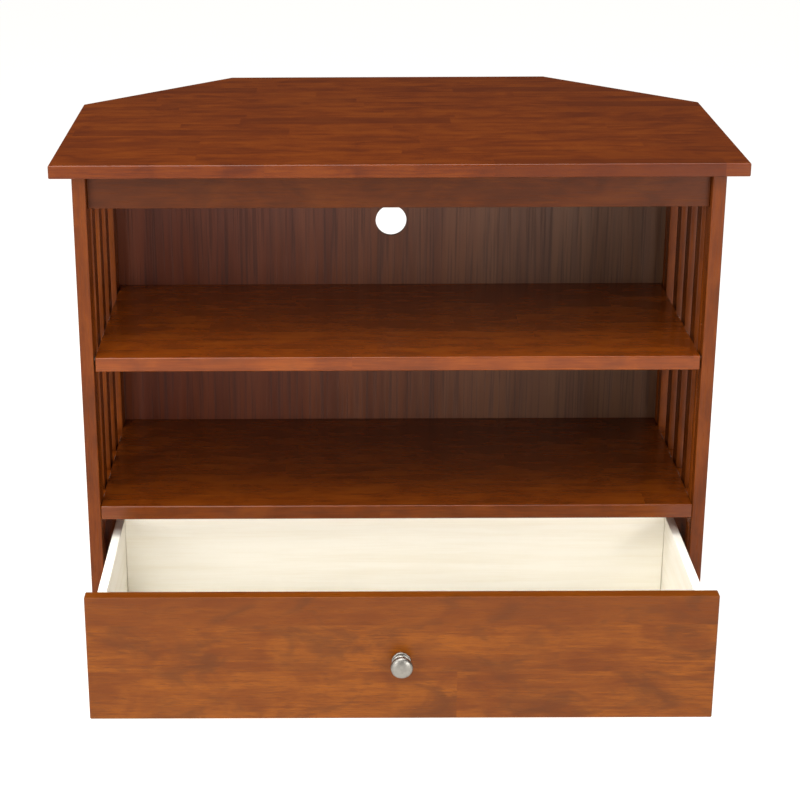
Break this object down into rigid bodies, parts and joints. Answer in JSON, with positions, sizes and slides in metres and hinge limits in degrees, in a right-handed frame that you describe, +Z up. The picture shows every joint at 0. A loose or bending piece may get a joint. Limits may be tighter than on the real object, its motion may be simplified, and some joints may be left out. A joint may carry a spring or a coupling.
{
  "type": "media cabinet",
  "caption": "Corner media cabinet with a cut-corner top, slatted sides, two open compartments, a flat back with a cable hole and a drawer on ball-bearing slides.",
  "frame": {"origin": "on the floor, at the centre of the box round the whole part with the drawer as it stands, open by 236 mm", "axes": "+X to the right seen from the front, +Y towards the back, +Z up; the drawer opens towards -Y"},
  "size_m": [0.914, 0.8642, 0.762],
  "materials": {
    "stained_wood": "red-brown stain under satin lacquer",
    "oak_veneer_back": "open-grain oak veneer, dark stain",
    "drawer_board": "pale clear-coated board",
    "zinc_steel": "bright zinc plate",
    "retainer_steel": "plain steel strip with balls",
    "satin_nickel": "satin nickel plate",
    "nylon": "moulded nylon"
  },
  "bodies": {
    "cabinet": {"top_panel": "stained_wood", "front_apron": "stained_wood", "front_toe_rail": "stained_wood", "rear_top_rail": "stained_wood", "rear_bottom_rail": "stained_wood", "back_panel": "oak_veneer_back", "upper_shelf": "stained_wood", "lower_shelf": "stained_wood", "left_front_stile": "stained_wood", "left_rear_stile": "stained_wood", "left_top_rail": "stained_wood", "left_lower_panel": "stained_wood", "left_slat_1": "stained_wood", "left_slat_2": "stained_wood", "left_slat_3": "stained_wood", "left_front_glide": "nylon", "left_rear_glide": "nylon", "left_top_angle_1": "zinc_steel", "left_top_angle_2": "zinc_steel", "shelf_pin_left_front": "zinc_steel", "shelf_pin_left_rear": "zinc_steel", "left_slide_fixed_member": "zinc_steel", "right_front_stile": "stained_wood", "right_rear_stile": "stained_wood", "right_top_rail": "stained_wood", "right_lower_panel": "stained_wood", "right_slat_1": "stained_wood", "right_slat_2": "stained_wood", "right_slat_3": "stained_wood", "right_front_glide": "nylon", "right_rear_glide": "nylon", "right_top_angle_1": "zinc_steel", "right_top_angle_2": "zinc_steel", "shelf_pin_right_front": "zinc_steel", "shelf_pin_right_rear": "zinc_steel", "right_slide_fixed_member": "zinc_steel"},
    "drawer": {"drawer_front": "stained_wood", "drawer_box_front": "drawer_board", "drawer_box_back": "drawer_board", "drawer_box_left_side": "drawer_board", "drawer_box_right_side": "drawer_board", "drawer_bottom": "drawer_board", "drawer_knob": "satin_nickel", "knob_screw": "zinc_steel", "left_slide_drawer_member": "zinc_steel", "right_slide_drawer_member": "zinc_steel"},
    "left_slide_middle": {"left_slide_middle_member": "zinc_steel"},
    "left_outer_cage": {"left_slide_outer_cage": "retainer_steel"},
    "left_inner_cage": {"left_slide_inner_cage": "retainer_steel"},
    "right_slide_middle": {"right_slide_middle_member": "zinc_steel"},
    "right_outer_cage": {"right_slide_outer_cage": "retainer_steel"},
    "right_inner_cage": {"right_slide_inner_cage": "retainer_steel"}
  },
  "joints": [
    {"name": "drawer_slide", "type": "slide", "parent": "cabinet", "child": "drawer", "axis": [0, -1, 0], "range_m": [-0.236, 0.064]},
    {"name": "left_slide_middle_travel", "type": "slide", "parent": "cabinet", "child": "left_slide_middle", "axis": [0, -1, 0], "range_m": [-0.118, 0.032]},
    {"name": "left_outer_cage_travel", "type": "slide", "parent": "cabinet", "child": "left_outer_cage", "axis": [0, -1, 0], "range_m": [-0.059, 0.016]},
    {"name": "left_inner_cage_travel", "type": "slide", "parent": "cabinet", "child": "left_inner_cage", "axis": [0, -1, 0], "range_m": [-0.177, 0.048]},
    {"name": "right_slide_middle_travel", "type": "slide", "parent": "cabinet", "child": "right_slide_middle", "axis": [0, -1, 0], "range_m": [-0.118, 0.032]},
    {"name": "right_outer_cage_travel", "type": "slide", "parent": "cabinet", "child": "right_outer_cage", "axis": [0, -1, 0], "range_m": [-0.059, 0.016]},
    {"name": "right_inner_cage_travel", "type": "slide", "parent": "cabinet", "child": "right_inner_cage", "axis": [0, -1, 0], "range_m": [-0.177, 0.048]}
  ],
  "couplings": [
    {"joint": "left_slide_middle_travel", "follows": "drawer_slide", "ratio": 0.5},
    {"joint": "left_outer_cage_travel", "follows": "drawer_slide", "ratio": 0.25},
    {"joint": "left_inner_cage_travel", "follows": "drawer_slide", "ratio": 0.75},
    {"joint": "right_slide_middle_travel", "follows": "drawer_slide", "ratio": 0.5},
    {"joint": "right_outer_cage_travel", "follows": "drawer_slide", "ratio": 0.25},
    {"joint": "right_inner_cage_travel", "follows": "drawer_slide", "ratio": 0.75}
  ]
}
